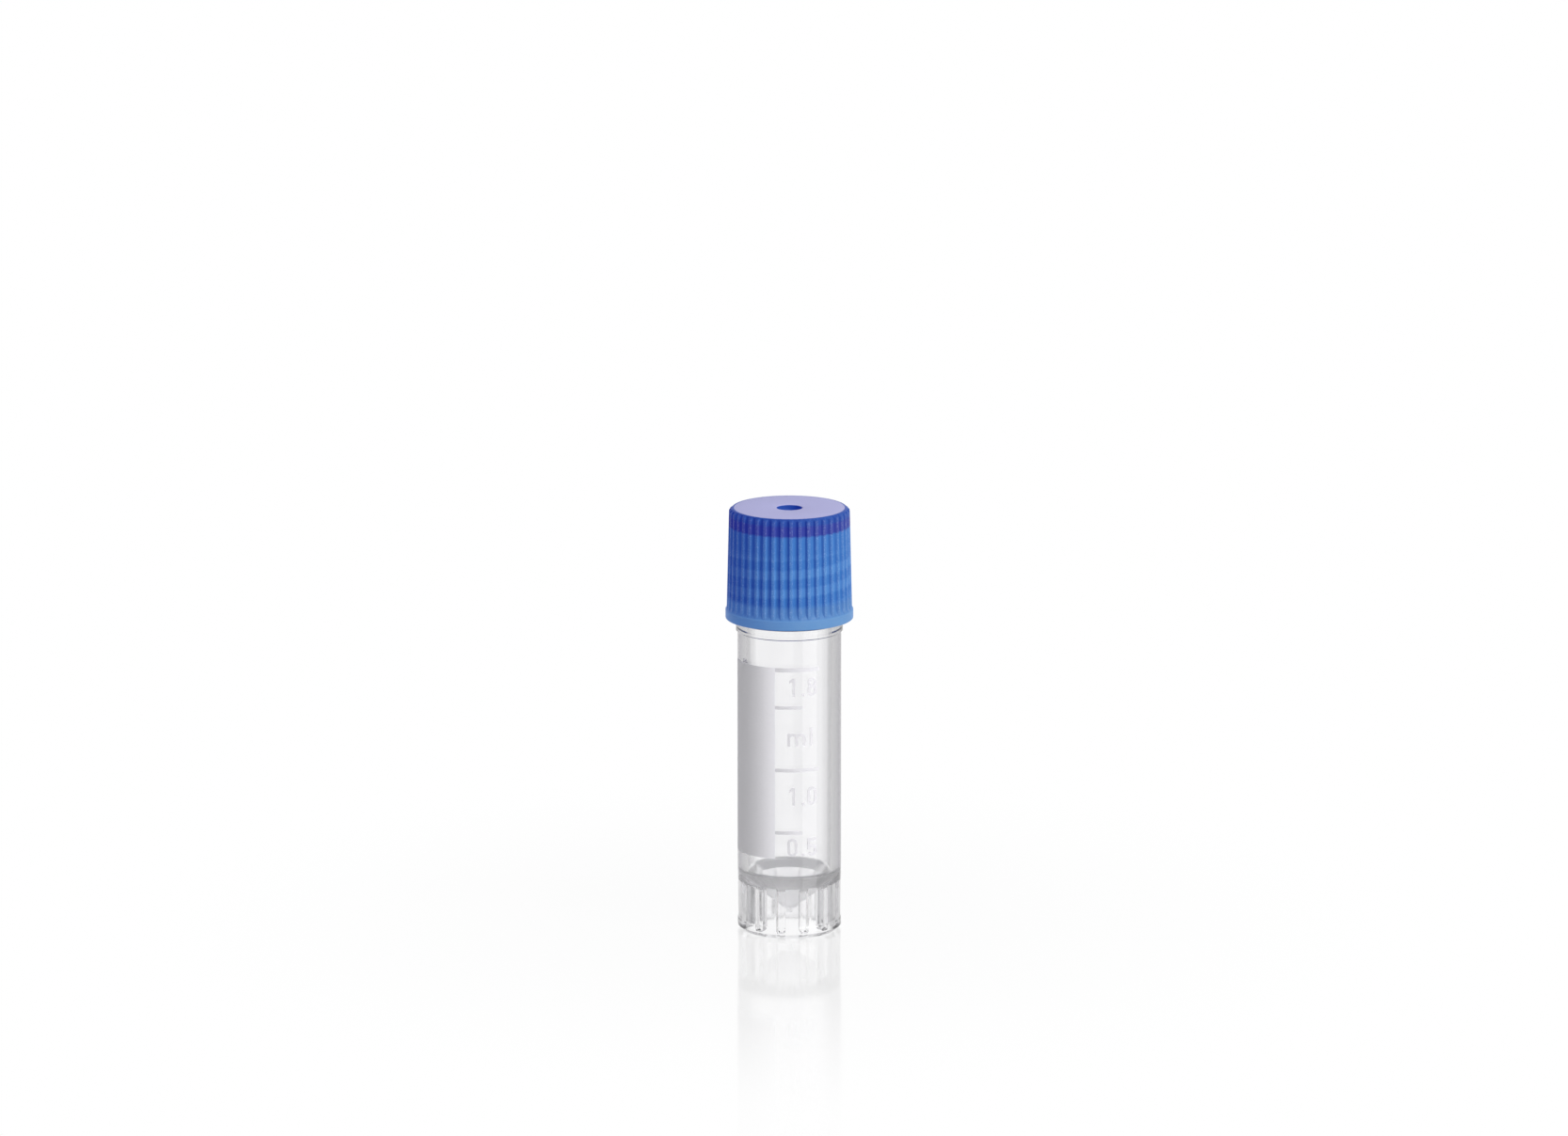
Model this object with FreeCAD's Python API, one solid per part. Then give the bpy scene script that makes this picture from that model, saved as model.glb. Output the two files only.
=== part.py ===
import FreeCAD, Part

import math
import os

from FreeCAD import Vector

# A self-standing cryogenic sample vial of 1.8 ml, closed. A moulded tube with an outside thread is
# shut by a ribbed screw cap, and a silicone washer seals the cap to the rim. White ink on the tube
# gives a writing panel and volume marks. Millimetres, +Z up, the origin on the tube's axis in the
# plane that the vial stands on. Angles are degrees from the front, which is -Y, towards +X.

# ---- driving dimensions ----

# capacity in millilitres, the edge of a cube that holds one, and the room left above it
nominal_volume = 1.8
upper_volume = 1.5
middle_volume = 1.0
first_volume = 0.5
millilitre_edge = 10.0
first_mark_rise = 5.43
headspace = 3.436

# tube: body, bore and rim
body_radius = 5.78
wall_at_rim = 1.0
wall_at_floor = 1.12
rim_edge = 0.12

# tube: tapered foot, with a bead and a chamfer at its bottom edge
foot_radius = 5.70
foot_height = 8.0
bead_step = 0.07
bead_top = 1.2
bead_slope = 0.12
foot_chamfer = 0.45

# tube: conical floor, rounded cup at its middle and the gate's nub under it
floor_height = 6.76
floor_thickness = 1.09
cone_angle = 38.0
cup_radius = 0.85
cup_depth = 0.68
tip_radius = 0.95
tip_thickness = 0.60
tip_rounding = 0.25
nub_radius = 0.35
nub_length = 0.62

# tube: skirt below the floor, and the ribs inside it that a holder's star key turns
skirt_wall_bottom = 0.85
skirt_wall_top = 1.0
key_ribs = 12
key_rib_width = 0.85
key_rib_depth = 0.80
key_rib_bottom = 0.50
key_rib_rounding = 0.30
key_rib_angle = 19.1

# tube: collar under the cap, and the neck above it
collar_step = 0.18
collar_height = 1.0
collar_slope = 0.12
neck_length = 10.7
neck_wall = 0.47
neck_fillet = 0.15

# thread: single start, right hand, with a ridge on the neck and one in the cap
lead = 2.1
ridge_height = 0.40
flank_angle = 30.0
flank_clearance = 0.30
crest_clearance = 0.15
root_clearance = 0.13
runout_angle = 45.0
neck_thread_angle = -60.0
neck_thread_height = 1.83
neck_thread_rim_gap = 2.36
cap_thread_angle = -150.0
cap_thread_rim_gap = 2.68

# cap: wall, top plate, flange and grip ribs
cap_gap = 0.3
cap_wall = 0.90
cap_draft = 0.0238
plate_thickness = 1.0
top_rounding = 0.15
flange_step = 0.41
flange_height = 1.0
flange_edge = 0.12
flare_height = 1.1
grip_ribs = 42
grip_rib_height = 0.28
grip_rib_crest = 0.50
grip_rib_root = 0.70
grip_rib_angle = 1.5
grip_rib_top_gap = 0.12
grip_rib_top_chamfer = 0.22
mouth_clearance = 0.10
mouth_height = 0.9
mouth_slope = 0.5
gate_radius = 1.4
gate_depth = 0.6
gate_chamfer = 0.12
gate_boss_radius = 2.4

# seal washer, held up by a bead in the cap's bore
washer_thickness = 1.1
washer_inner_radius = 3.55
washer_clearance = 0.10
washer_edge = 0.12
snap_bead_grip = 0.04
snap_bead_height = 0.30
snap_bead_gap = 0.08

# print: thickness of the ink, the writing panel and the volume marks
ink = 0.04
panel_right_angle = -15.9
panel_width_angle = 66.5
panel_foot_gap = 0.29
line_thickness = 0.38
top_line_thickness = 0.46
short_line_angle = 14.5
long_line_angle = 34.1
digit_height = 2.05
digit_width = 1.12
stroke = 0.30
first_digit_angle = 3.3
point_angle = 15.2
second_digit_angle = 25.7
top_label_drop = 3.0
middle_label_drop = 4.0
low_label_drop = 2.7
unit_rise = 2.77
unit_height = 1.45
unit_width = 2.05
unit_angle = 8.0
tall_letter_angle = 24.6

# ---- sizes that follow from them ----

rim_bore = body_radius - wall_at_rim
floor_bore = body_radius - wall_at_floor
neck_root = rim_bore + neck_wall
neck_crest = neck_root + ridge_height
collar_radius = body_radius + collar_step


def mark_height(volume):
    """Height that a volume fills to: the bore's mean section turns millilitres into a height."""
    mean_bore = (rim_bore + floor_bore) / 2
    above_first = (volume - first_volume) * millilitre_edge ** 3
    return floor_height + first_mark_rise + above_first / (math.pi * mean_bore ** 2)


collar_bottom = mark_height(nominal_volume) + headspace
collar_top = collar_bottom + collar_height
tube_height = collar_top + neck_length

cap_bore = neck_crest + crest_clearance
cap_crest = neck_root + root_clearance
cap_bottom = collar_top + cap_gap
plate_bottom = tube_height + washer_thickness
cap_top = plate_bottom + plate_thickness
flange_top = cap_bottom + flange_height
flange_radius = cap_bore + cap_wall + flange_step

flank_slope = math.tan(math.radians(flank_angle))
engagement = neck_crest - cap_crest
ridge_crest = lead / 2 - flank_clearance - engagement * flank_slope
ridge_sink = 0.35 * ridge_height
neck_thread_start = collar_top + neck_thread_height
neck_thread_end = tube_height - neck_thread_rim_gap
cap_thread_offset = lead / 2 + lead * (cap_thread_angle - neck_thread_angle) / 360.0
cap_thread_start = neck_thread_start + cap_thread_offset
cap_thread_end = tube_height - cap_thread_rim_gap
washer_radius = cap_bore - washer_clearance

AXIS = Vector(0, 0, 1)
ORIGIN = Vector(0, 0, 0)


# ---- shared shapes ----


def outline(start, steps):
    """A closed wire in the XZ plane. A step is a point (r, z), or a pair of points for an arc."""
    def at(point):
        return Vector(point[0], 0, point[1])

    edges = []
    here = start
    for step in list(steps) + [start]:
        if isinstance(step[0], tuple):
            middle, end = step
            edges.append(Part.Arc(at(here), at(middle), at(end)).toShape())
        else:
            end = step
            if at(end).distanceToPoint(at(here)) > 1e-7:
                edges.append(Part.LineSegment(at(here), at(end)).toShape())
        here = end
    return Part.Wire(edges)


def turned(start, *steps, angle=360.0):
    """The solid that an outline sweeps about the vial's axis."""
    return Part.Face(outline(start, steps)).revolve(ORIGIN, AXIS, angle)


def prism(start, *steps, near, far):
    """An outline seen from the front, solid from depth near to depth far in front of the axis."""
    face = Part.Face(outline(start, steps))
    face.translate(Vector(0, -near, 0))
    return face.extrude(Vector(0, near - far, 0))


def turned_to(shape, angle):
    """A copy of a shape made at the front, turned about the vial's axis."""
    copy = shape.copy()
    copy.rotate(ORIGIN, AXIS, angle)
    return copy


def all_round(shape, count, first_angle):
    return [turned_to(shape, first_angle + i * 360.0 / count) for i in range(count)]


def thread_ridge(root, crest, start, end, start_angle):
    """A helical ridge on the radius root, tapering out at both ends and sunk a little into it."""
    sections_per_turn = 24
    sink = ridge_sink if crest > root else -ridge_sink
    turns = (end - start) / lead
    count = math.ceil(turns * sections_per_turn)
    wires = []
    for i in range(count + 1):
        turn = turns * i / count
        to_end = min(turn, turns - turn) * 360.0 / runout_angle
        growth = max(0.1, math.sin(min(1.0, to_end) * math.pi / 2))
        top = root + (crest - root) * growth
        z = start + lead * turn
        half_crest = ridge_crest / 2
        half_base = half_crest + abs(top - root + sink) * flank_slope
        corners = [
            (root - sink, z - half_base),
            (top, z - half_crest),
            (top, z + half_crest),
            (root - sink, z + half_base),
        ]
        ring = [Vector(0, -r, height) for r, height in corners]
        wire = Part.makePolygon(ring + ring[:1])
        wires.append(turned_to(wire, start_angle + 360.0 * turn))
    return Part.makeLoft(wires, True, False)


# ---- tube ----


def vessel():
    """The turned form of the tube: foot, body, collar and neck outside, bore and cone inside."""
    slope = math.tan(math.radians(cone_angle))
    floor_under = floor_height - floor_thickness
    skirt_top_radius = foot_radius - skirt_wall_top
    skirt_bottom_radius = foot_radius - skirt_wall_bottom
    bead_radius = foot_radius + bead_step
    cup_top = floor_height - (floor_bore - cup_radius) * slope
    cup_bottom = cup_top - cup_depth
    cup_sphere = (cup_radius ** 2 + cup_depth ** 2) / (2 * cup_depth)
    cup_middle = math.sqrt(cup_sphere ** 2 - (cup_radius / 2) ** 2)
    tip_bottom = cup_bottom - tip_thickness
    tip_top = floor_under - (skirt_top_radius - tip_radius) * slope
    bend = tip_rounding * (1 - math.sqrt(0.5))
    corner = neck_fillet * (1 - math.sqrt(0.5))
    return turned(
        (0, tip_bottom - nub_length),
        (nub_radius, tip_bottom - nub_length),
        (nub_radius, tip_bottom),
        (tip_radius - tip_rounding, tip_bottom),
        ((tip_radius - bend, tip_bottom + bend), (tip_radius, tip_bottom + tip_rounding)),
        (tip_radius, tip_top),
        (skirt_top_radius, floor_under),
        (skirt_bottom_radius, 0),
        (bead_radius - foot_chamfer, 0),
        (bead_radius, foot_chamfer),
        (bead_radius, bead_top),
        (foot_radius, bead_top + bead_slope),
        (body_radius, foot_height),
        (body_radius, collar_bottom - collar_slope),
        (collar_radius, collar_bottom),
        (collar_radius, collar_top),
        (neck_root + neck_fillet, collar_top),
        ((neck_root + corner, collar_top + corner), (neck_root, collar_top + neck_fillet)),
        (neck_root, tube_height - rim_edge),
        (neck_root - rim_edge, tube_height),
        (rim_bore, tube_height),
        (floor_bore, floor_height),
        (cup_radius, cup_top),
        ((cup_radius / 2, cup_bottom + cup_sphere - cup_middle), (0, cup_bottom)),
    )


def key_rib():
    """One upright rib of the star foot, at the front, from the floor down to short of the bottom."""
    half = key_rib_width / 2
    bend = key_rib_rounding * (1 - math.sqrt(0.5))
    top = floor_height - 0.75 * floor_thickness
    corner_z = key_rib_bottom + key_rib_rounding
    return prism(
        (-half, top),
        (-half, corner_z),
        ((-half + bend, key_rib_bottom + bend), (-half + key_rib_rounding, key_rib_bottom)),
        (half - key_rib_rounding, key_rib_bottom),
        ((half - bend, key_rib_bottom + bend), (half, corner_z)),
        (half, top),
        near=foot_radius - skirt_wall_bottom - key_rib_depth,
        far=foot_radius - skirt_wall_bottom / 2,
    )


def make_tube():
    ribs = all_round(key_rib(), key_ribs, key_rib_angle)
    ridge = thread_ridge(
        neck_root, neck_crest, neck_thread_start, neck_thread_end, neck_thread_angle
    )
    return vessel().multiFuse(ribs + [ridge])


# ---- cap ----


def grip_core(z):
    """Radius of the cap between its grip ribs, which shrinks upwards with the mould's draft."""
    return cap_bore + cap_wall - (z - flange_top) * cap_draft


def cap_shell():
    """The turned form of the cap: flange, wall and top plate, with the bore that takes the neck."""
    flare_top = flange_top + flare_height
    core = grip_core(flare_top)
    step = flange_radius - core
    flare = (step ** 2 + flare_height ** 2) / (2 * step)
    half_turn = math.asin(flare_height / flare) / 2
    flare_middle = (
        core + flare * (1 - math.cos(half_turn)),
        flare_top - flare * math.sin(half_turn),
    )
    bend = top_rounding * (1 - math.sqrt(0.5))
    top_radius = grip_core(cap_top)
    mouth_radius = collar_radius + mouth_clearance
    mouth_top = cap_bottom + mouth_height
    snap_radius = washer_radius - snap_bead_grip
    snap_top = tube_height - snap_bead_gap
    boss_bottom = plate_bottom - gate_depth
    return turned(
        (0, boss_bottom),
        (gate_boss_radius, boss_bottom),
        (gate_boss_radius, plate_bottom),
        (cap_bore, plate_bottom),
        (cap_bore, snap_top),
        (snap_radius, snap_top - snap_bead_height / 2),
        (cap_bore, snap_top - snap_bead_height),
        (cap_bore, mouth_top + mouth_slope),
        (mouth_radius, mouth_top),
        (mouth_radius, cap_bottom),
        (flange_radius - flange_edge, cap_bottom),
        (flange_radius, cap_bottom + flange_edge),
        (flange_radius, flange_top),
        (flare_middle, (core, flare_top)),
        (top_radius, cap_top - top_rounding),
        ((top_radius - bend, cap_top - bend), (top_radius - top_rounding, cap_top)),
        (gate_radius + gate_chamfer, cap_top),
        (gate_radius, cap_top - gate_chamfer),
        (gate_radius, cap_top - gate_depth),
        (0, cap_top - gate_depth),
    )


def grip_rib():
    """One upright grip rib, at the front, from inside the flange to just under the cap's top."""
    top = cap_top - grip_rib_top_gap
    levels = [
        (flange_top - flange_height / 4, grip_rib_height),
        (top - grip_rib_top_chamfer, grip_rib_height),
        (top, grip_rib_height - grip_rib_top_chamfer),
    ]
    wires = []
    for z, height in levels:
        sunk = grip_core(z) - grip_rib_height
        crest = grip_core(z) + height
        half_root = grip_rib_root / 2 + (grip_rib_root - grip_rib_crest) / 2
        corners = [
            Vector(-half_root, -sunk, z),
            Vector(-grip_rib_crest / 2, -crest, z),
            Vector(grip_rib_crest / 2, -crest, z),
            Vector(half_root, -sunk, z),
        ]
        wires.append(Part.makePolygon(corners + corners[:1]))
    return Part.makeLoft(wires, True, True)


def make_cap():
    ridge = thread_ridge(cap_bore, cap_crest, cap_thread_start, cap_thread_end, cap_thread_angle)
    ribs = all_round(grip_rib(), grip_ribs, grip_rib_angle)
    return cap_shell().multiFuse(ribs + [ridge])


# ---- seal washer ----


def make_seal_washer():
    return turned(
        (washer_inner_radius, tube_height),
        (washer_radius - washer_edge, tube_height),
        (washer_radius, tube_height + washer_edge),
        (washer_radius, plate_bottom - washer_edge),
        (washer_radius - washer_edge, plate_bottom),
        (washer_inner_radius, plate_bottom),
    )


# ---- print on the tube ----


def printed_band(low, high, start_angle, end_angle):
    """A field of ink on the body between two heights and two angles."""
    outside = body_radius + ink
    band = turned(
        (body_radius, low),
        (outside, low),
        (outside, high),
        (body_radius, high),
        angle=end_angle - start_angle,
    )
    return turned_to(band, start_angle - 90.0)


def pad(left, low, right, high):
    """A rectangle of print, as a block that reaches through the ink at the front."""
    return prism(
        (left, low),
        (right, low),
        (right, high),
        (left, high),
        near=rim_bore,
        far=collar_radius,
    )


def lozenge(middle, low, width, height):
    """An upright rounded bar of print with half-round ends, or a disc where it is as wide as high."""
    r = width / 2
    return prism(
        (middle - r, low + r),
        ((middle, low), (middle + r, low + r)),
        (middle + r, low + height - r),
        ((middle, low + height), (middle - r, low + height - r)),
        near=rim_bore,
        far=collar_radius,
    )


def loop(middle, low, width, height):
    """A rounded ring of print, one stroke thick."""
    hole = lozenge(middle, low + stroke, width - 2 * stroke, height - 2 * stroke)
    return lozenge(middle, low, width, height).cut(hole)


def zero():
    return loop(0, 0, digit_width, digit_height)


def one():
    flag = prism(
        (-digit_width * 0.3, digit_height - 1.9 * stroke),
        (stroke / 2, digit_height - 0.9 * stroke),
        (stroke / 2, digit_height),
        (0, digit_height),
        (-digit_width * 0.3, digit_height - 0.9 * stroke),
        near=rim_bore,
        far=collar_radius,
    )
    return pad(0, 0, stroke, digit_height).fuse(flag)


def five():
    half = digit_width / 2
    bowl_height = 0.62 * digit_height
    bowl = loop(0, 0, digit_width, bowl_height)
    bowl = bowl.cut(pad(-half - stroke, 0.3 * bowl_height, -half + stroke, 0.78 * bowl_height))
    left = pad(-half, bowl_height - 1.6 * stroke, -half + stroke, digit_height)
    top = pad(-half, digit_height - stroke, half, digit_height)
    return bowl.multiFuse([left, top])


def eight():
    upper_height = (digit_height + stroke) * 0.47
    lower_height = digit_height + stroke - upper_height
    upper = loop(0, digit_height - upper_height, upper_height * 0.96, upper_height)
    return loop(0, 0, min(digit_width, lower_height), lower_height).fuse(upper)


def decimal_point():
    return pad(-stroke / 2, 0, stroke / 2, stroke)


def letter_m():
    half = unit_width / 2
    arch_width = (unit_width + stroke) / 2
    feet = [pad(x - stroke / 2, 0, x + stroke / 2, unit_height - arch_width / 2)
            for x in (-half + stroke / 2, 0, half - stroke / 2)]
    arches = []
    for side in (-1, 1):
        middle = side * (arch_width - stroke) / 2
        arch = loop(middle, unit_height - arch_width, arch_width, arch_width)
        below = pad(-unit_width, -unit_height, unit_width, unit_height - arch_width / 2)
        arches.append(arch.cut(below))
    stem = pad(-half, 0, -half + stroke, unit_height)
    return stem.multiFuse(feet + arches)


def letter_l():
    return pad(-stroke / 2, 0, stroke / 2, digit_height)


def printed(glyph, angle, bottom):
    """A glyph as a film of ink on the body, its middle at an angle and its foot at a height."""
    film = turned(
        (body_radius, -stroke),
        (body_radius + ink, -stroke),
        (body_radius + ink, digit_height + stroke),
        (body_radius, digit_height + stroke),
    )
    label = turned_to(glyph.common(film), angle)
    label.translate(Vector(0, 0, bottom))
    return label


def printed_number(first, second, bottom):
    return [
        printed(first, first_digit_angle, bottom),
        printed(decimal_point(), point_angle, bottom),
        printed(second, second_digit_angle, bottom),
    ]


def mark_line(volume, thickness, end_angle):
    middle = mark_height(volume)
    return printed_band(
        middle - thickness / 2, middle + thickness / 2, panel_right_angle, end_angle
    )


def make_writing_panel():
    bottom = mark_height(first_volume) - low_label_drop - panel_foot_gap
    top = mark_height(nominal_volume) + top_line_thickness / 2
    return printed_band(bottom, top, panel_right_angle - panel_width_angle, panel_right_angle)


def make_graduation_marks():
    lines = [
        mark_line(nominal_volume, top_line_thickness, long_line_angle),
        mark_line(upper_volume, line_thickness, short_line_angle),
        mark_line(middle_volume, line_thickness, long_line_angle),
        mark_line(first_volume, line_thickness, short_line_angle),
    ]
    labels = printed_number(one(), eight(), mark_height(nominal_volume) - top_label_drop)
    labels += printed_number(one(), zero(), mark_height(middle_volume) - middle_label_drop)
    labels += printed_number(zero(), five(), mark_height(first_volume) - low_label_drop)
    unit_bottom = mark_height(middle_volume) + unit_rise
    unit = [
        printed(letter_m(), unit_angle, unit_bottom),
        printed(letter_l(), tall_letter_angle, unit_bottom),
    ]
    solids = [solid for shape in lines + labels + unit for solid in shape.Solids]
    return Part.makeCompound(solids)


# ---- one STEP file for each piece ----

pieces = {
    "tube": make_tube(),
    "cap": make_cap(),
    "seal_washer": make_seal_washer(),
    "writing_panel": make_writing_panel(),
    "graduation_marks": make_graduation_marks(),
}
os.makedirs("parts", exist_ok=True)
for name, shape in pieces.items():
    shape.exportStep(f"parts/{name}.step")
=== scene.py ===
"""The looks of a 1.8 ml self-standing cryovial with its screw cap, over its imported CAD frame."""

import math

import bmesh
import bpy
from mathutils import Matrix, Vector


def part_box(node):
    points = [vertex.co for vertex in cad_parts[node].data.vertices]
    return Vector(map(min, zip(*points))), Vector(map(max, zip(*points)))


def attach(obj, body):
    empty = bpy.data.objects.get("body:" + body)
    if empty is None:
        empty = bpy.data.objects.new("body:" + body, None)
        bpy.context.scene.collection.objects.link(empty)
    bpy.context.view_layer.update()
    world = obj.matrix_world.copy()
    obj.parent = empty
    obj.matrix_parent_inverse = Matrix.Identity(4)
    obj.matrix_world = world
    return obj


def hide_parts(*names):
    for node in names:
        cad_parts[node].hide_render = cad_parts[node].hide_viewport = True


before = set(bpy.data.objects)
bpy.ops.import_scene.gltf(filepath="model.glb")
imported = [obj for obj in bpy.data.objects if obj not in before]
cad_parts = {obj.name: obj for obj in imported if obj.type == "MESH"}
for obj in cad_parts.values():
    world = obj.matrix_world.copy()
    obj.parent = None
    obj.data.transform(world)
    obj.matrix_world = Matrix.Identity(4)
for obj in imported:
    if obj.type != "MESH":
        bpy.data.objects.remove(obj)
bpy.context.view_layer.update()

# ---- tube ----
# The vessel: clear polypropylene, moulded in one shot with its star foot, collar and threaded neck.
# The core that forms the cone under the sample leaves it frosted, and the walls come out glossy.

mm = 0.001
nearly = 0.01 * mm
exactly = 0.001 * mm

collar_step = 0.18 * mm
collar_height = 1.0 * mm
collar_slope = 0.12 * mm
neck_length = 10.7 * mm
collar_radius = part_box("tube")[1].x
rim_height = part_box("tube")[1].z
body_radius = collar_radius - collar_step
collar_top = rim_height - neck_length
collar_bottom = collar_top - collar_height
neck_root = 5.25 * mm
rim_bore = 4.78 * mm
floor_bore = 4.66 * mm

foot_radius = 5.70 * mm
foot_height = 8.0 * mm
bead_radius = 5.77 * mm
bead_top = 1.2 * mm
bead_slope = 0.12 * mm
foot_chamfer = 0.45 * mm
skirt_bottom_bore = 4.85 * mm
skirt_top_bore = 4.70 * mm

floor_height = 6.76 * mm
floor_under = 5.67 * mm
cone_angle = 38
floor_slope = math.tan(math.radians(cone_angle))
cup_radius = 0.85 * mm
cup_depth = 0.68 * mm
tip_radius = 0.95 * mm
tip_thickness = 0.60 * mm
nub_radius = 0.35 * mm
nub_length = 0.62 * mm
cup_top = floor_height - (floor_bore - cup_radius) * floor_slope
cup_bottom = cup_top - cup_depth
tip_bottom = cup_bottom - tip_thickness
tip_top = floor_under - (skirt_top_bore - tip_radius) * floor_slope

key_ribs = 12
key_rib_turn = 19.1
key_rib_half = 5.5
key_rib_flank = 0.35
key_rib_bore = 4.05 * mm
key_rib_bottom = 0.50 * mm
key_rib_rounding = 0.30 * mm
key_rib_foot = 1.0 * mm
skirt_share = key_rib_foot / floor_under
skirt_low_bore = skirt_bottom_bore + (skirt_top_bore - skirt_bottom_bore) * skirt_share

thread_lead = 2.1 * mm
thread_height = 0.40 * mm
thread_crest = 0.594 * mm
thread_flank_angle = 30
thread_flank = math.tan(math.radians(thread_flank_angle))
thread_runout = 45 / 360
neck_thread_turn = -60
neck_thread_start = 37.03 * mm
neck_thread_end = 43.54 * mm


def rounded(corners):
    """The points of an outline; a corner (radius, height, bend) turns by an arc of radius bend."""
    points = []
    for i, (radius, height, bend) in enumerate(corners):
        here = Vector((radius, height))
        if bend == 0:
            points.append(here)
            continue
        back = (Vector(corners[i - 1][:2]) - here).normalized()
        ahead = (Vector(corners[i + 1][:2]) - here).normalized()
        half = back.angle(ahead) / 2
        middle = here + (back + ahead).normalized() * (bend / math.sin(half))
        start = here + back * (bend / math.tan(half)) - middle
        end = here + ahead * (bend / math.tan(half)) - middle
        steps = max(2, round(math.degrees(start.angle(end)) / 15))
        for k in range(steps + 1):
            points.append(middle + bend * start.slerp(end, k / steps))
    return points


def with_rows(points, low, high, spacing):
    """The outline with rows of points added on its straight stretches between two heights."""
    rows = [points[0]]
    for here, there in zip(points, points[1:]):
        if low <= min(here.y, there.y) and max(here.y, there.y) <= high:
            count = max(1, math.ceil(abs(there.y - here.y) / spacing))
            rows += [here.lerp(there, k / count) for k in range(1, count)]
        rows.append(there)
    return rows


def turned(name, outline, turns, form):
    """A closed skin: an outline from axis to axis, swept through the turns, as form moves it."""
    vertices = []
    for point in outline:
        for turn in turns:
            radius, height = form(point.x, point.y, turn)
            angle = math.radians(turn)
            vertices.append((radius * math.sin(angle), -radius * math.cos(angle), height))
    count = len(turns)
    faces = []
    for row in range(len(outline) - 1):
        for k in range(count):
            low = (row * count + k, row * count + (k + 1) % count)
            faces.append((*low, low[1] + count, low[0] + count))
    mesh = bpy.data.meshes.new(name)
    mesh.from_pydata(vertices, [], faces)
    skin = bmesh.new()
    skin.from_mesh(mesh)
    bmesh.ops.remove_doubles(skin, verts=skin.verts, dist=exactly)
    bmesh.ops.recalc_face_normals(skin, faces=skin.faces)
    skin.to_mesh(mesh)
    skin.free()
    mesh.shade_smooth()
    mesh.set_sharp_from_angle(angle=math.radians(32))
    piece = bpy.data.objects.new(name, mesh)
    bpy.context.scene.collection.objects.link(piece)
    even = piece.modifiers.new("even_normals", "WEIGHTED_NORMAL")
    even.keep_sharp = True
    return piece


def from_nearest(turn, first, count):
    """Degrees from a turn to the nearest of equal marks round the axis."""
    pitch = 360 / count
    return abs((turn - first + pitch / 2) % pitch - pitch / 2)


def stations(first, count, offsets):
    """Turns at offsets to both sides of equal marks; the last is halfway and serves two marks."""
    sides = sorted({-offset for offset in offsets[:-1]} | set(offsets))
    return [first + i * 360 / count + side for i in range(count) for side in sides]


def ease(value, low, high):
    """0 at low and 1 at high, with a smooth rise between."""
    t = min(1, max(0, (value - low) / (high - low)))
    return t * t * (3 - 2 * t)


def thread_rise(turn, height, start, end, start_turn):
    """How far the thread's ridge stands up from its wall at a turn and a height."""
    turns = (end - start) / thread_lead
    part = (turn - start_turn) / 360 % 1
    along = part + round((height - start) / thread_lead - part)
    to_end = min(along, turns - along) / thread_runout
    top = thread_height * math.sin(min(1, max(0, to_end)) * math.pi / 2)
    off = abs(height - start - thread_lead * along) - thread_crest / 2
    return max(0, top - max(0, off) / thread_flank)


def tube_form(radius, height, turn):
    """Raises the key ribs inside the skirt, and the thread's ridge on the neck."""
    in_skirt = key_rib_bore < radius < skirt_bottom_bore + nearly
    if in_skirt and height < floor_under + nearly:
        off = from_nearest(turn, key_rib_turn, key_ribs)
        side = (key_rib_half - off) * math.radians(1) * skirt_top_bore
        inset = key_rib_rounding
        across = max(0, inset - side)
        down = max(0, inset - (height - key_rib_bottom))
        inside = inset - math.hypot(across, down)
        flank = key_rib_flank * math.radians(1) * skirt_top_bore
        share = ease(inside, -flank, flank)
        radius += (key_rib_bore - radius) * share
        height = min(height, floor_under - (skirt_top_bore - radius) * floor_slope)
    elif abs(radius - neck_root) < exactly:
        start, end = neck_thread_start, neck_thread_end
        radius += thread_rise(turn, height, start, end, neck_thread_turn)
    return radius, height


cup_steps = 6
cup_arc = []
for k in range(1, cup_steps + 1):
    bow = math.radians(90 * k / cup_steps)
    cup_arc.append((cup_radius * math.cos(bow), cup_top - cup_depth * math.sin(bow), 0))
tube_corners = [
    (0, tip_bottom - nub_length, 0),
    (nub_radius, tip_bottom - nub_length, 0.08 * mm),
    (nub_radius, tip_bottom, 0.06 * mm),
    (tip_radius, tip_bottom, 0.25 * mm),
    (tip_radius, tip_top, 0.12 * mm),
    (skirt_top_bore, floor_under, 0.12 * mm),
    (skirt_low_bore, key_rib_foot, 0),
    (skirt_bottom_bore, 0, 0.06 * mm),
    (bead_radius - foot_chamfer, 0, 0.06 * mm),
    (bead_radius, foot_chamfer, 0.10 * mm),
    (bead_radius, bead_top, 0.04 * mm),
    (foot_radius, bead_top + bead_slope, 0.04 * mm),
    (body_radius, foot_height, 0),
    (body_radius, collar_bottom - collar_slope, 0.03 * mm),
    (collar_radius, collar_bottom, 0.04 * mm),
    (collar_radius, collar_top, 0.06 * mm),
    (neck_root, collar_top, 0.15 * mm),
    (neck_root, rim_height, 0.12 * mm),
    (rim_bore, rim_height, 0.10 * mm),
    (floor_bore, floor_height, 0.30 * mm),
    (cup_radius, cup_top, 0),
    *cup_arc,
]
tube_outline = rounded(tube_corners)
tube_outline = with_rows(tube_outline, 0, key_rib_foot + nearly, 0.06 * mm)
tube_outline = with_rows(tube_outline, key_rib_foot - nearly, floor_under, 0.25 * mm)
tube_outline = with_rows(tube_outline, collar_top, rim_height, 0.10 * mm)
key_rib_offsets = [0, 2.5, 4.2, 4.8, 5.15, 5.35, 5.5, 5.65, 5.85, 6.2, 8, 10.5, 13, 15]
tube = turned(
    "clear_tube",
    tube_outline,
    stations(key_rib_turn, key_ribs, key_rib_offsets),
    tube_form,
)


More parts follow.
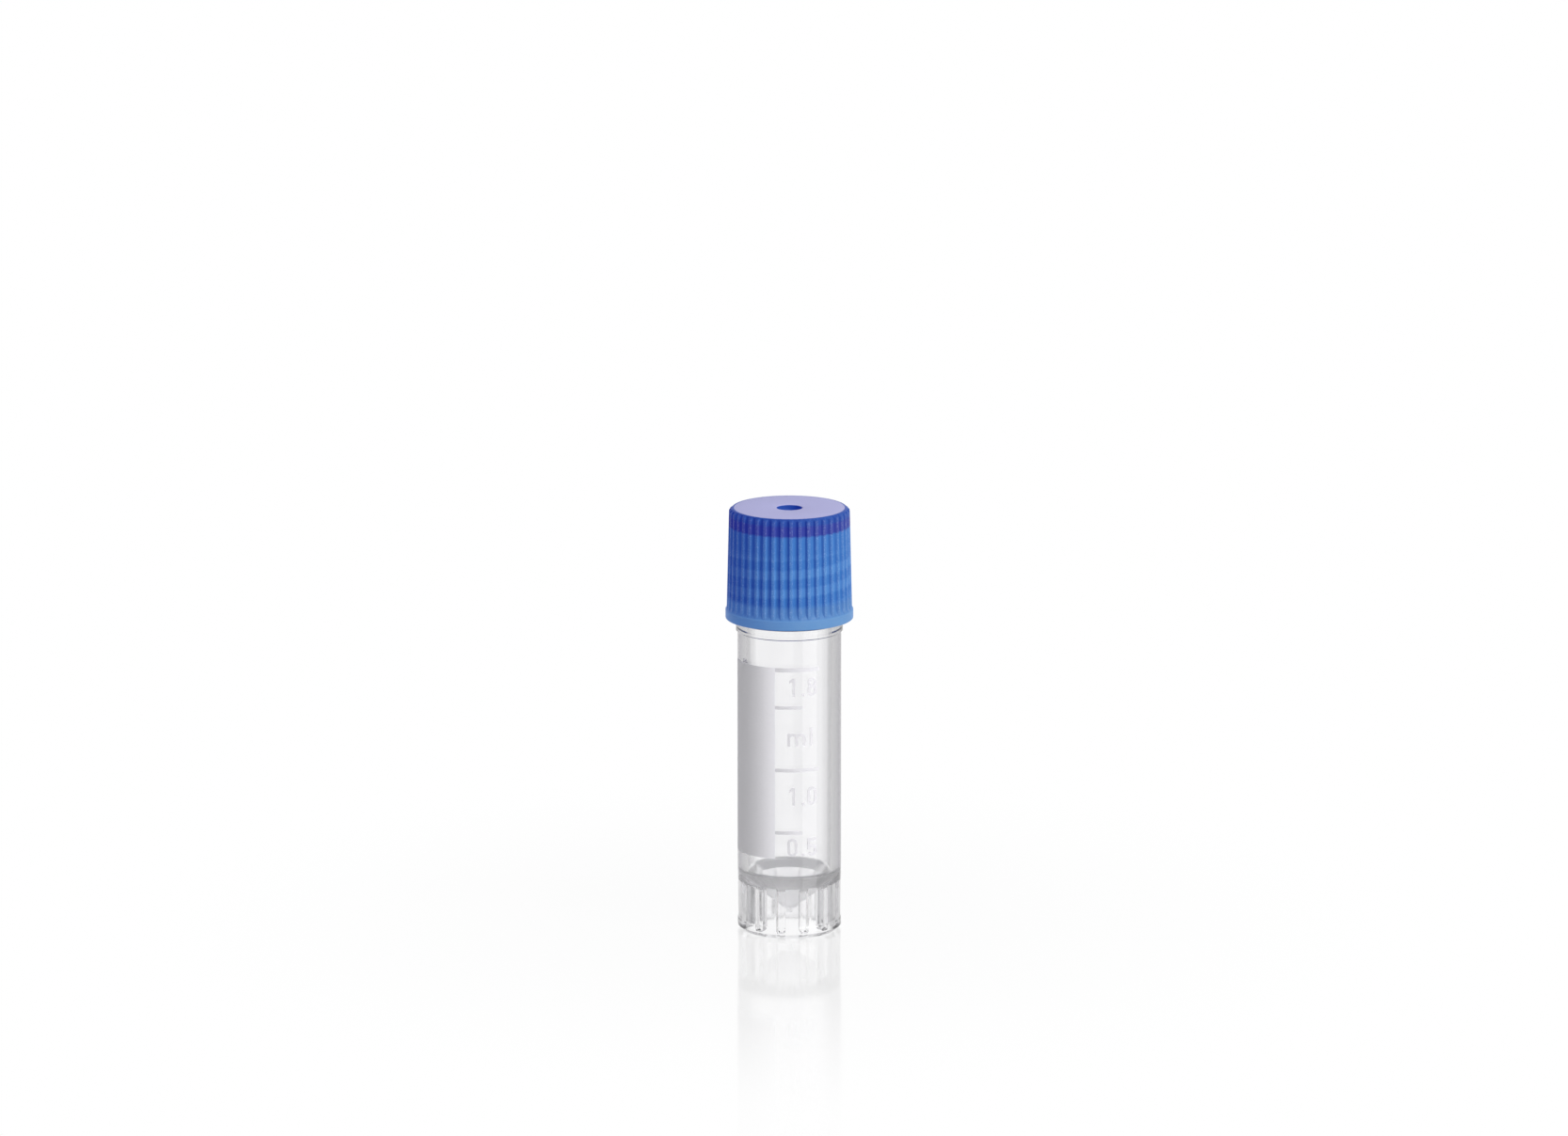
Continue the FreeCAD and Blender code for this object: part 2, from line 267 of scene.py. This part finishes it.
class Signal:
    """A socket on its way through a node tree; arithmetic on signals adds Math nodes."""

    def __init__(self, tree, socket=None):
        self.tree = tree
        self.socket = socket

    def node(self, kind, settings=None, inputs=None, output=0):
        """Adds a node: its settings first, then the values or links of its sockets."""
        made = self.tree.nodes.new(kind)
        for name, value in (settings or {}).items():
            setattr(made, name, value)
        for name, value in (inputs or {}).items():
            if isinstance(value, Signal):
                self.tree.links.new(value.socket, made.inputs[name])
            else:
                made.inputs[name].default_value = value
        return Signal(self.tree, made.outputs[output] if made.outputs else None)

    def other(self, name):
        """Another output of the node that this signal comes from."""
        return Signal(self.tree, self.socket.node.outputs[name])

    def math(self, operation, *others):
        """A Math node on this signal and others."""
        values = dict(enumerate((self, *others)))
        return self.node("ShaderNodeMath", {"operation": operation}, values)

    def rise(self, low, high):
        """0 where this signal is at low and 1 where it is at high, with a smooth step between."""
        ends = {"Value": self, "From Min": low, "From Max": high}
        return self.node("ShaderNodeMapRange", {"interpolation_type": "SMOOTHSTEP"}, ends)

    def blend(self, first, second):
        """The colour first where this signal is 0, and second where it is 1."""
        return self.node(
            "ShaderNodeMix",
            {"data_type": "RGBA"},
            {"Factor": self, 6: first, 7: second},
            output=2,
        )

    def __add__(self, other):
        return self.math("ADD", other)

    __radd__ = __add__

    def __sub__(self, other):
        return self.math("SUBTRACT", other)

    def __rsub__(self, other):
        return (self * -1).math("ADD", other)

    def __mul__(self, other):
        return self.math("MULTIPLY", other)

    __rmul__ = __mul__

    def __truediv__(self, other):
        return self.math("DIVIDE", other)


def new_material(name):
    """A material with an empty node tree, and a signal that starts nodes in it."""
    material = bpy.data.materials.new(name)
    material.use_nodes = True
    material.node_tree.nodes.clear()
    return material, Signal(material.node_tree)


def place_on_part(start):
    """The place on the part, its distance from the axis and its height, all in millimetres."""
    place = start.node("ShaderNodeTexCoord", output="Object")
    scaled = {"Vector": place, "Scale": 1 / mm}
    place = start.node("ShaderNodeVectorMath", {"operation": "SCALE"}, scaled)
    x = start.node("ShaderNodeSeparateXYZ", inputs={"Vector": place})
    y = x.other("Y")
    return place, (x * x + y * y).math("SQRT"), x.other("Z")


clear_plastic, start = new_material("clear_polypropylene")
place, from_axis, height = place_on_part(start)
above_cone = height - floor_slope * from_axis
cone_edge = (floor_bore + skirt_top_bore) / 2
cone_middle = ((floor_height + floor_under) / 2 - floor_slope * cone_edge) / mm
off_cone = above_cone - cone_middle
on_cone = 1 - off_cone.math("ABSOLUTE").rise(0.7, 0.95)
inner_wall = floor_bore / mm
frosted = on_cone * (1 - from_axis.rise(inner_wall, inner_wall + 0.06))
edge = start.node("ShaderNodeLayerWeight", inputs={"Blend": 0.5}, output="Facing")
on_outside = from_axis.rise(4.9, 5.2) * height.rise(5.5, 7.5)
# Painted shade: the clear glass is greyed towards its edges by viewing angle, more on the outer
# wall of the body, for the dark edges of a clear tube.
edge_shade = edge.rise(0.33, 0.75) * (1 - frosted) * (0.6 + 0.4 * on_outside)
# Painted shade: the frosted root of the cone is painted darker where it is seen more squarely, at
# the back, for the shade inside the thick plastic there.
root_shade = frosted * from_axis.rise(3.65, 3.80) * off_cone.rise(0.0, 0.1)
root_shade = root_shade * (1 - edge.rise(0.36, 0.54))
tint_and_shade = edge_shade.blend((0.985, 0.985, 0.99, 1), (0.20, 0.19, 0.22, 1))
tint_and_shade = root_shade.blend(tint_and_shade, (0.22, 0.22, 0.235, 1))
satin_foot = (1 - frosted) * (1 - height.rise(3.5, 5.5))
body = start.node(
    "ShaderNodeBsdfPrincipled",
    inputs={
        "Base Color": tint_and_shade,
        "Roughness": 0.03 + 0.30 * frosted + 0.10 * satin_foot,
        "IOR": 1.49,
        "Transmission Weight": 1.0,
    },
)
passing = start.node("ShaderNodeBsdfTransparent", inputs={"Color": (0.92, 0.92, 0.93, 1)})
in_shadow = start.node("ShaderNodeLightPath", output="Is Shadow Ray")
surface = start.node("ShaderNodeMixShader", inputs={0: in_shadow, 1: body, 2: passing})
haze = start.node(
    "ShaderNodeVolumeAbsorption", inputs={"Color": (0.50, 0.49, 0.52, 1), "Density": 70.0}
)
start.node("ShaderNodeOutputMaterial", inputs={"Surface": surface, "Volume": haze})
tube.data.materials.append(clear_plastic)

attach(tube, "tube")
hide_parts("tube")

# ---- writing panel and volume marks ----
# White ink, screen printed on the body after moulding: a matt field to write on, and the lines,
# numbers and unit of the scale beside it, whose fine strokes come out greyer than the field.

ink_white = (0.865, 0.855, 0.895)
for name, share in (("writing_panel", 1.0), ("graduation_marks", 0.71)):
    white_ink, start = new_material(name + "_ink")
    place, from_axis, height = place_on_part(start)
    coarse = {"Vector": place, "Scale": 9.0, "Detail": 4.0}
    fine = {"Vector": place, "Scale": 30.0, "Detail": 2.0}
    grain = start.node("ShaderNodeTexNoise", inputs=coarse)
    pores = start.node("ShaderNodeTexNoise", inputs=fine)
    tone = grain.rise(0.3, 0.7)
    relief = start.node(
        "ShaderNodeBump", inputs={"Strength": 0.25, "Distance": 0.02 * mm, "Height": pores}
    )
    pale = [share * level for level in ink_white]
    thin = [0.95 * level for level in pale]
    film = start.node(
        "ShaderNodeBsdfPrincipled",
        inputs={
            "Base Color": tone.blend((*thin, 1), (*pale, 1)),
            "Roughness": 0.55 + 0.15 * tone,
            "Normal": relief,
        },
    )
    start.node("ShaderNodeOutputMaterial", inputs={"Surface": film})
    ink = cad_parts[name].data
    ink.materials.clear()
    ink.materials.append(white_ink)

# ---- seal washer ----
# A flat ring of red silicone, punched from sheet, that a bead in the cap's bore holds up against
# the top plate. It is soft and slightly dusty, and seals on the rim.

red_silicone, start = new_material("red_silicone")
place, from_axis, height = place_on_part(start)
dust = start.node("ShaderNodeTexNoise", inputs={"Vector": place, "Scale": 6.0, "Detail": 5.0})
tone = dust.rise(0.35, 0.75)
rubber = start.node(
    "ShaderNodeBsdfPrincipled",
    inputs={
        "Base Color": tone.blend((0.42, 0.06, 0.07, 1), (0.52, 0.10, 0.11, 1)),
        "Roughness": 0.55 + 0.2 * tone,
    },
)
start.node("ShaderNodeOutputMaterial", inputs={"Surface": rubber})
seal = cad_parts["seal_washer"]
seal.data.materials.clear()
seal.data.materials.append(red_silicone)

# ---- cap ----
# The screw cap: translucent blue polypropylene with 42 grip ribs, a flange at its mouth and a
# gate well in its top. The thread, the seal and the top plate show through the wall as bands.

cap_bore = 5.80 * mm
cap_wall = 0.90 * mm
cap_draft = 0.0238
plate_thickness = 1.0 * mm
flange_height = 1.0 * mm
flare_height = 1.1 * mm
mouth_clearance = 0.10 * mm
mouth_height = 0.9 * mm
mouth_slope = 0.5 * mm
gate_radius = 1.4 * mm
gate_depth = 0.6 * mm
gate_boss_radius = 2.4 * mm
snap_radius = 5.66 * mm
snap_height = 0.30 * mm
snap_gap = 0.08 * mm

flange_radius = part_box("cap")[1].x
cap_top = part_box("cap")[1].z
cap_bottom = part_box("cap")[0].z
flange_top = cap_bottom + flange_height
plate_bottom = cap_top - plate_thickness
mouth_radius = collar_radius + mouth_clearance
mouth_top = cap_bottom + mouth_height
bore_bottom = mouth_top + mouth_slope
snap_top = rim_height - snap_gap
snap_bottom = snap_top - snap_height
wall_inside = cap_bore + 0.5 * mm

cap_thread_turn = -150
cap_thread_lag = (cap_thread_turn - neck_thread_turn) / 360
cap_thread_start = neck_thread_start + thread_lead * (0.5 + cap_thread_lag)
cap_thread_end = 43.22 * mm

grip_ribs = 42
grip_rib_turn = 1.5
grip_rib_height = 0.28 * mm
grip_rib_foot = 3.3
grip_rib_shoulder = 1.0
grip_rib_fade = 1.5
grip_rib_top = cap_top - 0.34 * mm
grip_rib_end = cap_top - 0.10 * mm


def grip_core(height):
    """Radius between the grip ribs, which shrinks upwards with the mould's draft."""
    return cap_bore + cap_wall - (height - flange_top) * cap_draft


def flare(height):
    """Radius of the sweep from the wall out to the flange."""
    core = grip_core(flange_top + flare_height)
    step = flange_radius - core
    bend = (step ** 2 + flare_height ** 2) / (2 * step)
    up = height - flange_top - flare_height
    return core + bend - math.sqrt(bend ** 2 - up ** 2)


def cap_form(radius, height, turn):
    """Raises the grip ribs on the outside, and the thread's ridge in the bore."""
    outside = radius > wall_inside and height >= flange_top
    if outside and height < grip_rib_end:
        off = from_nearest(turn, grip_rib_turn, grip_ribs)
        rise = grip_rib_height * ease(off, grip_rib_foot, grip_rib_shoulder)
        up = max(0, height - grip_rib_top) / (grip_rib_end - grip_rib_top)
        rise *= 1 - up ** grip_rib_fade
        radius = max(radius, grip_core(height) + rise)
    elif abs(radius - cap_bore) < exactly:
        start, end = cap_thread_start, cap_thread_end
        radius -= thread_rise(turn, height, start, end, cap_thread_turn)
    return radius, height


flare_steps = 14
flare_rows = []
for k in range(1, flare_steps):
    z = flange_top + flare_height * (1 - k / flare_steps)
    flare_rows.append((flare(z), z, 0))
cap_corners = [
    (0, cap_top - gate_depth, 0),
    (gate_radius, cap_top - gate_depth, 0.12 * mm),
    (gate_radius, cap_top, 0.12 * mm),
    (grip_core(cap_top), cap_top, 0.14 * mm),
    (grip_core(grip_rib_end), grip_rib_end, 0),
    (grip_core(grip_rib_top), grip_rib_top, 0),
    (grip_core(flange_top + flare_height), flange_top + flare_height, 0),
    *flare_rows,
    (flange_radius, flange_top, 0),
    (flange_radius, cap_bottom, 0.14 * mm),
    (mouth_radius, cap_bottom, 0.10 * mm),
    (mouth_radius, mouth_top, 0.06 * mm),
    (cap_bore, bore_bottom, 0),
    (cap_bore, snap_bottom, 0),
    (snap_radius, snap_top - snap_height / 2, 0),
    (cap_bore, snap_top, 0),
    (cap_bore, plate_bottom, 0.08 * mm),
    (gate_boss_radius, plate_bottom, 0.10 * mm),
    (gate_boss_radius, plate_bottom - gate_depth, 0.12 * mm),
    (0, plate_bottom - gate_depth, 0),
]
cap_outline = rounded(cap_corners)
cap_outline = with_rows(cap_outline, grip_rib_top, grip_rib_end, 0.05 * mm)
cap_outline = with_rows(cap_outline, bore_bottom, snap_bottom, 0.12 * mm)
grip_rib_offsets = [0, 0.8, 1.3, 1.75, 2.15, 2.55, 3.0, 3.4, 180 / grip_ribs]
cap = turned(
    "blue_cap",
    cap_outline,
    stations(grip_rib_turn, grip_ribs, grip_rib_offsets),
    cap_form,
)

blue_plastic, start = new_material("blue_polypropylene")
place, from_axis, height = place_on_part(start)
x = start.node("ShaderNodeSeparateXYZ", inputs={"Vector": place})
turn = x.math("ARCTAN2", x.other("Y") * -1) / math.radians(360)
wall_foot = (cap_bore + cap_wall + flange_top * cap_draft) / mm
above_core = from_axis - (wall_foot - cap_draft * height)

flange_line = flange_top / mm
seal_line = rim_height / mm
plate_line = plate_bottom / mm
top_line = cap_top / mm
thread_line = 38.6
helix = (height - thread_line) / (thread_lead / mm) - turn
off_ridge = (helix - helix.math("ROUND")).math("ABSOLUTE")
in_turns = height.rise(37.9, 38.1) * (1 - height.rise(43.4, 43.8))
ridge = (1 - off_ridge.rise(0.18, 0.34)) * in_turns
on_thread = height.rise(37.8, 38.6) * (1 - height.rise(43.0, 44.2))
behind_tube = height.rise(37.70, 38.35)
at_seal = height.rise(seal_line - 0.05, seal_line + 0.25)
at_plate = height.rise(plate_line, plate_line + 0.35)
on_flange = 1 - height.rise(flange_line - 0.05, flange_line + 0.25)
on_top = height.rise(top_line - 0.05, top_line - 0.02) * (1 - from_axis.rise(6.12, 6.20))
on_wall = height.rise(flange_line + 0.1, flange_line + 0.5)
on_wall = on_wall * (1 - height.rise(top_line - 0.4, top_line - 0.2))
crest = above_core.rise(0.10, 0.24) * on_wall

coarse = {"Vector": place, "Scale": 0.9, "Detail": 3.0}
fine = {"Vector": place, "Scale": 6.5, "Detail": 2.0}
cloud = start.node("ShaderNodeTexNoise", inputs=coarse)
speckle = start.node("ShaderNodeTexNoise", inputs=fine)
glints = speckle.rise(0.48, 0.70)
colour = on_thread.blend((0.042, 0.140, 0.258, 1), (0.064, 0.182, 0.303, 1))
colour = ridge.blend(colour, (0.038, 0.135, 0.252, 1))
# Painted light: the mouth below the thread and the flange are painted paler, as if lit through the
# wall from the clear tube behind.
colour = behind_tube.blend((0.058, 0.125, 0.175, 1), colour)
colour = on_flange.blend(colour, (0.090, 0.165, 0.210, 1))
colour = at_seal.blend(colour, (0.031, 0.030, 0.100, 1))
colour = at_plate.blend(colour, (0.019, 0.048, 0.130, 1))
colour = (0.30 * cloud).blend(colour, (0.022, 0.105, 0.22, 1))
# Painted highlight: the crests of the grip ribs are whitened in speckles, on top of the real sheen
# of their coat.
colour = (crest * (0.01 + 0.05 * glints)).blend(colour, (0.75, 0.85, 1.0, 1))
# Painted light: the cap glows a steady blue, in place of light passing through the translucent
# plastic from behind; the glow is stronger in the mouth below the thread and on the flange, and
# left off on the top disc.
glow = behind_tube.blend((0.018, 0.062, 0.285, 1), (0.0, 0.005, 0.190, 1))
glow = on_flange.blend(glow, (0.030, 0.090, 0.310, 1))
glow = on_top.blend(glow, (0.0, 0.0, 0.0, 1))
# The top disc is painted pale lavender, in part its own matt colour and in part painted sheen from
# the lamps above, with painted glints speckled over it.
colour = on_top.blend(colour, (0.37, 0.37, 0.60, 1))
colour = (on_top * (0.12 * glints)).blend(colour, (0.60, 0.60, 0.70, 1))
relief = start.node(
    "ShaderNodeBump",
    inputs={"Strength": 0.35, "Distance": 0.03 * mm, "Height": speckle * (0.4 + 0.6 * crest)},
)
shell = start.node(
    "ShaderNodeBsdfPrincipled",
    inputs={
        "Base Color": colour,
        "Roughness": 0.42 + 0.08 * crest + 0.28 * on_top,
        "Specular IOR Level": 0.08,
        "Coat Weight": crest * (0.1 + 0.3 * glints),
        "Coat Roughness": 0.42,
        "Coat IOR": 1.65,
        "Emission Color": glow,
        "Emission Strength": 1.0,
        "Normal": relief,
    },
)
start.node("ShaderNodeOutputMaterial", inputs={"Surface": shell})
cap.data.materials.append(blue_plastic)

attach(cap, "cap")
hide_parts("cap")

# ---- table ----
# A glossy white acrylic sheet that the vial stands on. It takes the object's reflection and a
# trace of its shadow, and runs on into the background.

table_reach = 3.0
table_mesh = bpy.data.meshes.new("table")
table_corners = [(-1, -1), (1, -1), (1, 1), (-1, 1)]
table_points = [(table_reach * across, table_reach * along, 0) for across, along in table_corners]
table_mesh.from_pydata(table_points, [], [range(4)])
table = bpy.data.objects.new("table", table_mesh)
bpy.context.scene.collection.objects.link(table)

white_acrylic, start = new_material("white_acrylic")
place, from_axis, height = place_on_part(start)
seen = start.node("ShaderNodeLightPath", output="Is Camera Ray")
far = from_axis.rise(10.0, 80.0)
matt = start.node(
    "ShaderNodeBsdfPrincipled", inputs={"Base Color": (0.5, 0.5, 0.5, 1), "Roughness": 0.6}
)
mirror = start.node(
    "ShaderNodeBsdfPrincipled",
    inputs={"Base Color": (1, 1, 1, 1), "Metallic": 1.0, "Roughness": 0.08},
)
glow = start.node("ShaderNodeEmission", inputs={"Color": (1, 1, 1, 1), "Strength": 1.0})
bright = start.node("ShaderNodeMixShader", inputs={0: 0.30 - 0.28 * far, 1: glow, 2: mirror})
surface = start.node(
    "ShaderNodeMixShader", inputs={0: seen * (0.92 + 0.08 * far), 1: matt, 2: bright}
)
start.node("ShaderNodeOutputMaterial", inputs={"Surface": surface})
table_mesh.materials.append(white_acrylic)
table.visible_transmission = False
table.visible_glossy = False

# ---- light ----
# A white surround, with a tall soft box and a stronger high one to the right of the front, and one
# overhead. Seen through the tube it is a little darker between the four sides, which draws edges.

studio = bpy.data.worlds.new("studio")
studio.use_nodes = True
studio.node_tree.nodes.clear()
bpy.context.scene.world = studio
start = Signal(studio.node_tree)
seen = start.node("ShaderNodeLightPath", output="Is Camera Ray")
matt = seen.other("Is Diffuse Ray")
mirrored = seen.other("Is Glossy Ray") * (1 - seen.other("Is Transmission Ray"))
toward = start.node("ShaderNodeTexCoord", output="Generated")
x = start.node("ShaderNodeSeparateXYZ", inputs={"Vector": toward})
y = x.other("Y")
z = x.other("Z")
sides = 4
dimming = 0.30
matt_level = 0.27
between_sides = 0.5 - 0.5 * (sides * y.math("ARCTAN2", x)).math("COSINE")
level_ring = 1 - z.math("ABSOLUTE").rise(0.35, 0.60)
surround = 1 - dimming * between_sides * level_ring * (1 - mirrored)
level = surround + matt * (matt_level - surround)
level = level + seen * (1 - level)
backdrop = start.node("ShaderNodeBackground", inputs={"Color": (1, 1, 1, 1), "Strength": level})
start.node("ShaderNodeOutputWorld", inputs={"Surface": backdrop})


def soft_box(name, turn, elevation, distance, width, height, level):
    """A lamp that faces the vial; level is the brightness of its white front."""
    lamp = bpy.data.lights.new(name, "AREA")
    lamp.shape = "RECTANGLE"
    lamp.size = width
    lamp.size_y = height
    lamp.energy = level * math.pi * width * height
    box = bpy.data.objects.new(name, lamp)
    a = math.radians(turn)
    e = math.radians(elevation)
    away = Vector((math.sin(a) * math.cos(e), -math.cos(a) * math.cos(e), math.sin(e)))
    box.location = Vector((0, 0, cap_top / 2)) + distance * away
    box.rotation_mode = "QUATERNION"
    box.rotation_quaternion = (-away).to_track_quat("-Z", "Y")
    box.visible_transmission = False
    bpy.context.scene.collection.objects.link(box)


side = {"turn": 46.5, "elevation": 0, "distance": 0.50}
key = {"turn": 46, "elevation": 36, "distance": 0.60}
top = {"turn": 0, "elevation": 85, "distance": 0.50}
soft_box("side_box", **side, width=0.296, height=0.60, level=1.5)
soft_box("key_box", **key, width=0.40, height=0.40, level=8.0)
soft_box("top_box", **top, width=0.40, height=0.40, level=1.0)

# ---- camera ----
# A long lens, a little over a metre away and 13 degrees above the level, with the vial standing
# below the middle of the picture.

camera_distance = 1.182
aim_up = 16.71 * mm
aim_left = 0.60 * mm
elevation = math.radians(13.29)
toward_camera = Vector((0, -math.cos(elevation), math.sin(elevation)))
upward = Vector((0, math.sin(elevation), math.cos(elevation)))
middle = Vector((0, 0, cap_top / 2))
lens = bpy.data.cameras.new("camera")
lens.sensor_width = 36
lens.lens = 243.45
lens.clip_end = 10
camera = bpy.data.objects.new("camera", lens)
camera.location = middle + camera_distance * toward_camera
aim = middle + aim_up * upward - Vector((aim_left, 0, 0))
camera.rotation_mode = "QUATERNION"
camera.rotation_quaternion = (aim - camera.location).to_track_quat("-Z", "Y")
bpy.context.scene.collection.objects.link(camera)
bpy.context.scene.camera = camera
bpy.context.scene.view_settings.view_transform = "Standard"
